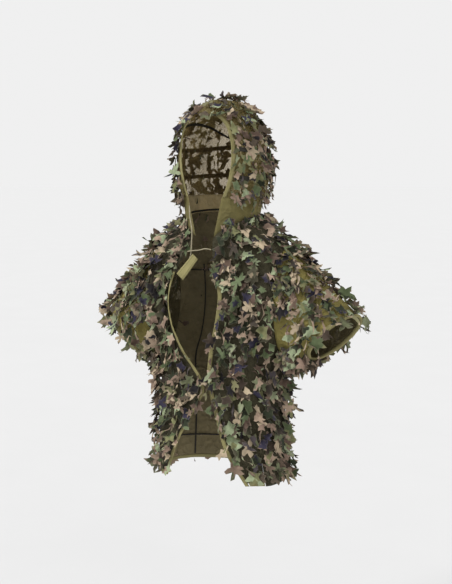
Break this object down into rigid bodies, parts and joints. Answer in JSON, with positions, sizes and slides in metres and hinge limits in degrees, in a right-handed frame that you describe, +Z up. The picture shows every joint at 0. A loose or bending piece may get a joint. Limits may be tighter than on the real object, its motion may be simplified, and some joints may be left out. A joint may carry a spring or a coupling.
{
  "type": "camouflage jacket",
  "caption": "Hooded open-front camouflage jacket with wide elbow-length batwing sleeves, see-through base cloth and a layer of cut fabric leaves, in the shape it takes when worn.",
  "frame": {"origin": "centre of the neck seam, where the jacket rests on the wearer's neck and shoulders", "axes": "+Z up, the front faces -Y, +X to the wearer's left"},
  "size_m": [0.7674, 0.3018, 1.037],
  "materials": {
    "base_cloth": "matte see-through mesh cloth",
    "band_cloth": "matte plain weave",
    "leaf_layer": "matte cut leaves in woodland colours",
    "binding": "matte folded tape",
    "elastic": "matte ribbed elastic",
    "cord": "braided",
    "snap_metal": "dark painted snap"
  },
  "bodies": {
    "torso": {"back_panel_left": "base_cloth", "back_panel_right": "base_cloth", "back_leaf_layer_left": "leaf_layer", "back_leaf_layer_right": "leaf_layer", "back_hem_binding_left": "binding", "back_hem_binding_right": "binding", "back_elastic_left": "elastic", "back_elastic_right": "elastic", "side_panel_left": "base_cloth", "side_panel_right": "base_cloth", "side_leaf_layer_left": "leaf_layer", "side_leaf_layer_right": "leaf_layer", "shoulder_yoke_left": "base_cloth", "shoulder_yoke_right": "base_cloth", "yoke_leaf_layer_left": "leaf_layer", "yoke_leaf_layer_right": "leaf_layer", "neck_band_left": "band_cloth", "neck_band_right": "band_cloth", "armhole_front_left": "base_cloth", "armhole_front_right": "base_cloth", "armhole_back_left": "base_cloth", "armhole_back_right": "base_cloth", "neck_tie_cord": "cord"},
    "front_left": {"front_flap_left": "base_cloth", "flap_leaf_layer_left": "leaf_layer", "front_binding_left": "binding", "flap_hem_binding_left": "binding", "snap_socket_waist": "snap_metal", "snap_socket_chest": "snap_metal"},
    "front_right": {"front_flap_right": "base_cloth", "flap_leaf_layer_right": "leaf_layer", "front_binding_right": "binding", "flap_hem_binding_right": "binding", "snap_stud_waist": "snap_metal", "snap_stud_chest": "snap_metal"},
    "sleeve_left": {"sleeve_front_left": "base_cloth", "sleeve_back_left": "base_cloth", "sleeve_leaf_layer_front_left": "leaf_layer", "sleeve_leaf_layer_back_left": "leaf_layer", "cuff_binding_left": "binding"},
    "sleeve_right": {"sleeve_front_right": "base_cloth", "sleeve_back_right": "base_cloth", "sleeve_leaf_layer_front_right": "leaf_layer", "sleeve_leaf_layer_back_right": "leaf_layer", "cuff_binding_right": "binding"},
    "hood": {"hood_side_left": "base_cloth", "hood_side_right": "base_cloth", "hood_leaf_layer_left": "leaf_layer", "hood_leaf_layer_right": "leaf_layer", "hood_crown": "base_cloth", "hood_leaf_layer_crown": "leaf_layer", "face_binding_left": "binding", "face_binding_right": "binding", "hood_elastic_lower_left": "elastic", "hood_elastic_lower_right": "elastic", "hood_elastic_upper_left": "elastic", "hood_elastic_upper_right": "elastic", "hood_drawcord": "cord", "drawcord_knot": "cord"}
  },
  "joints": [
    {"name": "hood_tilt", "type": "hinge", "parent": "torso", "child": "hood", "pos_m": [0, 0.09, 0.012], "axis": [-1, 0, 0], "range_deg": [-7, 30], "deforming": ["neck_band_left", "neck_band_right"]},
    {"name": "sleeve_left_raise", "type": "hinge", "parent": "torso", "child": "sleeve_left", "pos_m": [0.205, 0, -0.12], "axis": [0, -1, 0], "range_deg": [-8, 40], "deforming": ["armhole_front_left", "armhole_back_left"]},
    {"name": "sleeve_right_raise", "type": "hinge", "parent": "torso", "child": "sleeve_right", "pos_m": [-0.205, 0, -0.12], "axis": [0, 1, 0], "range_deg": [-4, 50], "deforming": ["armhole_front_right", "armhole_back_right"]},
    {"name": "front_left_open", "type": "hinge", "parent": "torso", "child": "front_left", "pos_m": [0.1215, -0.0965, -0.435], "axis": [-0.1506, -0.0571, 0.9869], "range_deg": [0, 60]},
    {"name": "front_right_open", "type": "hinge", "parent": "torso", "child": "front_right", "pos_m": [-0.1365, -0.098, -0.435], "axis": [-0.0993, 0.0627, -0.9931], "range_deg": [0, 28]}
  ]
}
